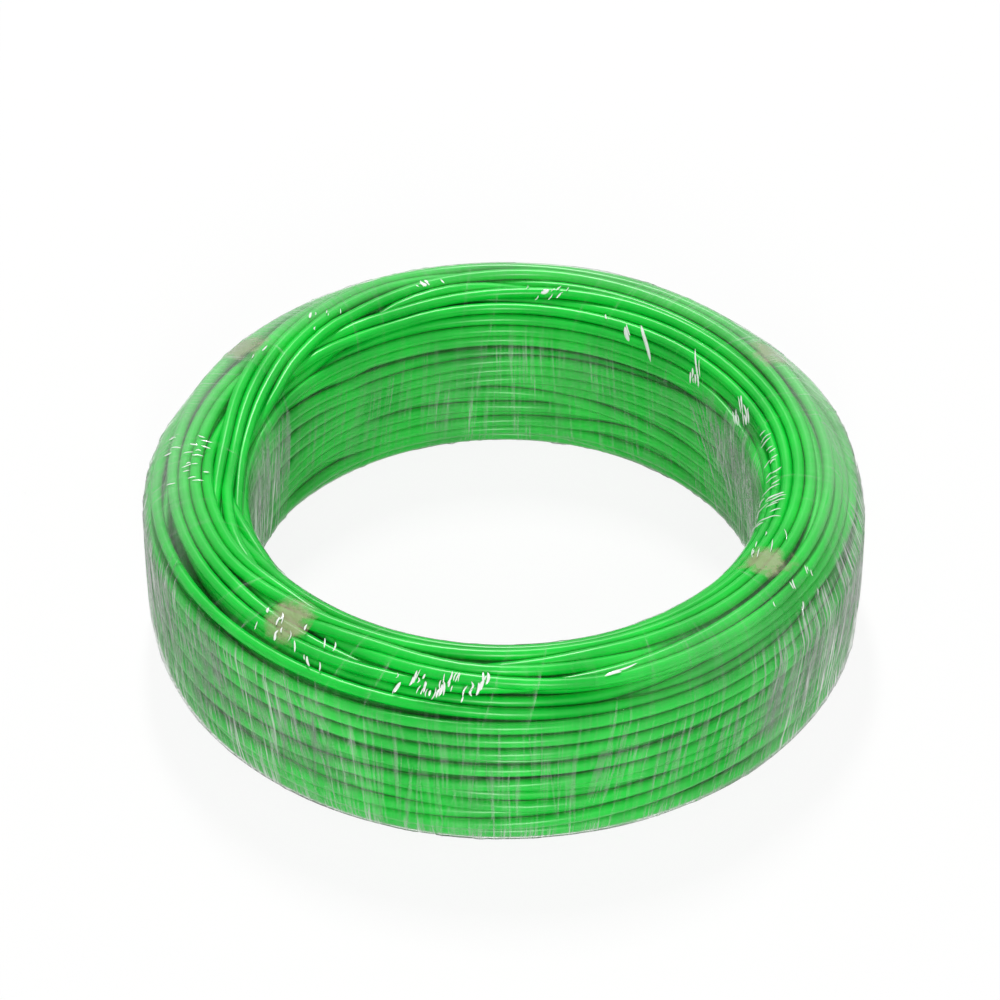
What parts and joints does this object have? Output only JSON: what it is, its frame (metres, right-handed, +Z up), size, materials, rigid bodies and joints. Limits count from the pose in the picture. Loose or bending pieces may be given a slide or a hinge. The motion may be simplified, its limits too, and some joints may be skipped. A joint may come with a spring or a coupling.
{
  "type": "wire coil",
  "caption": "Free-standing ring-shaped coil of green insulated single-core wire, tied with tape and wrapped in clear stretch film, with an open eye.",
  "frame": {"origin": "centre of the underside, on the axis of the eye", "axes": "+Z up along the axis of the eye; the coil lies flat on the XY plane"},
  "size_m": [0.17, 0.17, 0.0477],
  "materials": {
    "wire_insulation": "glossy extruded PVC, bright green",
    "copper": "bright cut copper",
    "tape": "thin translucent tan tape",
    "stretch_film": "clear wrinkled polyethylene stretch film"
  },
  "bodies": {
    "root": {"inner_turns": "wire_insulation", "outer_turns": "wire_insulation", "conductor_ends": "copper", "tape_tie_1": "tape", "tape_tie_2": "tape", "tape_tie_3": "tape", "tape_tie_4": "tape", "film_wrap": "stretch_film"}
  },
  "joints": []
}
